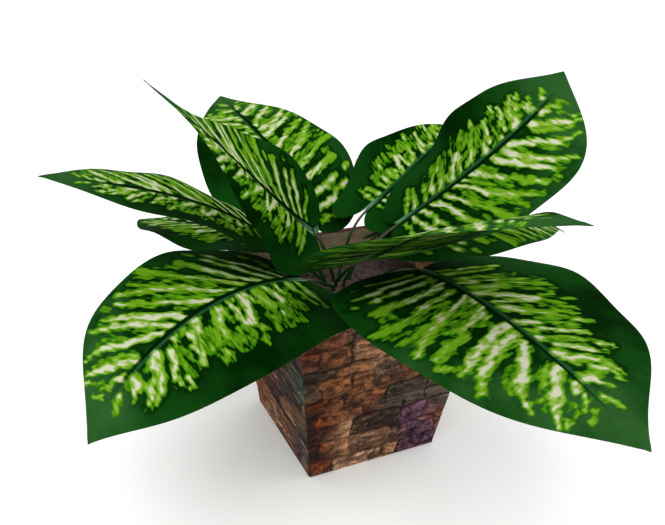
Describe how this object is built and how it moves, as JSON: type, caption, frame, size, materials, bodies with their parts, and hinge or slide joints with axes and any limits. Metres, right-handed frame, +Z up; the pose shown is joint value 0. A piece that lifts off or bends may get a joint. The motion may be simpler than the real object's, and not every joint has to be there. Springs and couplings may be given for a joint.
{
  "type": "potted dieffenbachia",
  "caption": "Leafy house plant with broad cream-variegated leaves on thin stalks, growing from soil in a square tapered stone masonry planter.",
  "frame": {"origin": "middle of the planter's foot, on the surface it stands on", "axes": "+Z up; X and Y along the planter's sides; the picture looks from -X -Y, above"},
  "size_m": [0.6078, 0.663, 0.4088],
  "materials": {
    "masonry": "matte",
    "soil": "matte",
    "leaf": "satin"
  },
  "bodies": {
    "root": {"pot": "masonry", "soil": "soil", "leaf_01": "leaf", "leaf_02": "leaf", "leaf_03": "leaf", "leaf_04": "leaf", "leaf_05": "leaf", "leaf_06": "leaf", "leaf_07": "leaf", "leaf_08": "leaf", "leaf_09": "leaf", "leaf_10": "leaf"}
  },
  "joints": []
}
